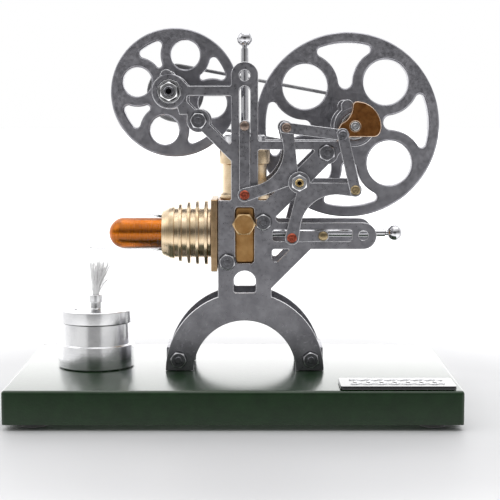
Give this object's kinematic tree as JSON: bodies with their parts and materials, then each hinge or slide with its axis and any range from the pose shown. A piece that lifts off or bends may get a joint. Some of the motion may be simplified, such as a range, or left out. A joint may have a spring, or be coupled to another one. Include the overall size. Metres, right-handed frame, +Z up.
{
  "type": "stirling engine model",
  "caption": "Desktop hot-air engine: glass displacer tube over a spirit burner, upright power cylinder, bell-crank linkage and belt-joined spoked flywheels on a tray base.",
  "frame": {"origin": "centre of the base at the underside of its feet", "axes": "+X to the right along the displacer rod's outer end, seen from the front; +Y to the back, where the flywheels are; +Z up along the power rod"},
  "size_m": [0.21, 0.13, 0.1863],
  "materials": {
    "frame_steel": "dark grey tumbled steel, softly mottled, edges rubbed brighter",
    "bright_steel": "turned and polished steel",
    "chrome_rod": "bright plated rod and ball",
    "brass": "light turned brass, fine turning marks",
    "dark_brass": "darker brown brass, satin",
    "copper": null,
    "heatproof_glass": "clear borosilicate glass",
    "aluminium": "turned aluminium, fine concentric marks",
    "tray_paint": "dark green hammered powder coat",
    "black_enamel": null,
    "foot_rubber": "matt black rubber",
    "belt_rubber": "grey silicone rubber cord",
    "wick_fibre": "white twisted fibre, frayed at its top"
  },
  "bodies": {
    "base": {"base_tray": "tray_paint", "rubber_foot_1": "foot_rubber", "rubber_foot_2": "foot_rubber", "rubber_foot_3": "foot_rubber", "rubber_foot_4": "foot_rubber", "name_plate": "black_enamel", "front_frame": "frame_steel", "back_frame": "frame_steel", "frame_bolt_1": "frame_steel", "frame_bolt_2": "frame_steel", "frame_bolt_3": "frame_steel", "frame_bolt_4": "frame_steel", "strut_stud": "frame_steel", "arm_stud": "frame_steel", "foot_block_left": "frame_steel", "foot_block_right": "frame_steel", "cylinder_block": "brass", "cylinder_flange": "brass", "hex_plug": "brass", "finned_cooler": "brass", "glass_tube": "heatproof_glass", "power_cylinder": "brass", "crank_bearing_front": "bright_steel", "crank_bearing_rear": "bright_steel", "wheel_bearing_front": "bright_steel", "wheel_bearing_rear": "bright_steel", "pivot_shaft": "brass", "pivot_nut": "bright_steel", "drive_belt": "belt_rubber", "burner_cup": "aluminium", "burner_lid": "aluminium", "wick": "wick_fibre"},
    "crank_assembly": {"crankshaft": "bright_steel", "counterweight": "dark_brass", "crank_pin": "bright_steel", "large_flywheel": "frame_steel", "large_pulley": "aluminium"},
    "small_wheel_assembly": {"small_shaft": "bright_steel", "small_flywheel": "frame_steel", "small_pulley": "aluminium", "small_shaft_nut": "bright_steel"},
    "power_connecting_link": {"link_a": "frame_steel"},
    "displacer_connecting_link": {"link_b": "frame_steel"},
    "power_bell_crank": {"bell_crank_a_front": "frame_steel", "bell_crank_a_rear": "frame_steel", "tie_pin_a": "bright_steel"},
    "displacer_bell_crank": {"bell_crank_b_front": "frame_steel", "bell_crank_b_rear": "frame_steel", "tie_pin_b": "bright_steel"},
    "vertical_links": {"vertical_link_front": "frame_steel", "vertical_link_rear": "frame_steel"},
    "horizontal_links": {"horizontal_link_front": "frame_steel", "horizontal_link_rear": "frame_steel"},
    "power_piston_assembly": {"power_rod": "chrome_rod", "power_cross_pin": "brass", "power_piston": "bright_steel"},
    "displacer_assembly": {"displacer_rod": "chrome_rod", "displacer_cross_pin": "brass", "displacer": "copper"}
  },
  "joints": [
    {"name": "crank_spin", "type": "hinge", "parent": "base", "child": "crank_assembly", "pos_m": [0.0577, 0, 0.137], "axis": [0, -1, 0], "continuous": true},
    {"name": "small_flywheel_spin", "type": "hinge", "parent": "base", "child": "small_wheel_assembly", "pos_m": [-0.0307, 0, 0.1535], "axis": [0, -1, 0], "continuous": true},
    {"name": "power_link_pivot", "type": "hinge", "parent": "crank_assembly", "child": "power_connecting_link", "pos_m": [0.05141, 0, 0.13292], "axis": [0, -1, 0], "continuous": true},
    {"name": "displacer_link_pivot", "type": "hinge", "parent": "crank_assembly", "child": "displacer_connecting_link", "pos_m": [0.05141, 0, 0.13292], "axis": [0, -1, 0], "continuous": true},
    {"name": "power_bell_crank_swing", "type": "hinge", "parent": "base", "child": "power_bell_crank", "pos_m": [0.0311, 0, 0.1104], "axis": [0, -1, 0], "range_deg": [-29.7, 3.2]},
    {"name": "vertical_links_pivot", "type": "hinge", "parent": "power_bell_crank", "child": "vertical_links", "pos_m": [0.0052, 0, 0.10433], "axis": [0, -1, 0], "range_deg": [-3.3, 29.8]},
    {"name": "power_rod_slide", "type": "slide", "parent": "base", "child": "power_piston_assembly", "axis": [0, 0, 1], "range_m": [-0.0016, 0.0138]},
    {"name": "displacer_bell_crank_swing", "type": "hinge", "parent": "base", "child": "displacer_bell_crank", "pos_m": [0.0311, 0, 0.1104], "axis": [0, -1, 0], "range_deg": [-9.1, 23.8]},
    {"name": "horizontal_links_pivot", "type": "hinge", "parent": "displacer_bell_crank", "child": "horizontal_links", "pos_m": [0.02772, 0, 0.08402], "axis": [0, -1, 0], "range_deg": [-23.9, 9.2]},
    {"name": "displacer_slide", "type": "slide", "parent": "base", "child": "displacer_assembly", "axis": [1, 0, 0], "range_m": [-0.0043, 0.0111]}
  ],
  "couplings": [
    {"joint": "small_flywheel_spin", "follows": "crank_spin", "ratio": 1},
    {"joint": "power_link_pivot", "follows": "crank_spin", "ratio": -1},
    {"joint": "displacer_link_pivot", "follows": "crank_spin", "ratio": -1},
    {"joint": "vertical_links_pivot", "follows": "power_bell_crank_swing", "ratio": -1},
    {"joint": "power_rod_slide", "follows": "power_bell_crank_swing", "m_per_rad": -0.02637},
    {"joint": "horizontal_links_pivot", "follows": "displacer_bell_crank_swing", "ratio": -1},
    {"joint": "displacer_slide", "follows": "displacer_bell_crank_swing", "m_per_rad": 0.02643}
  ]
}
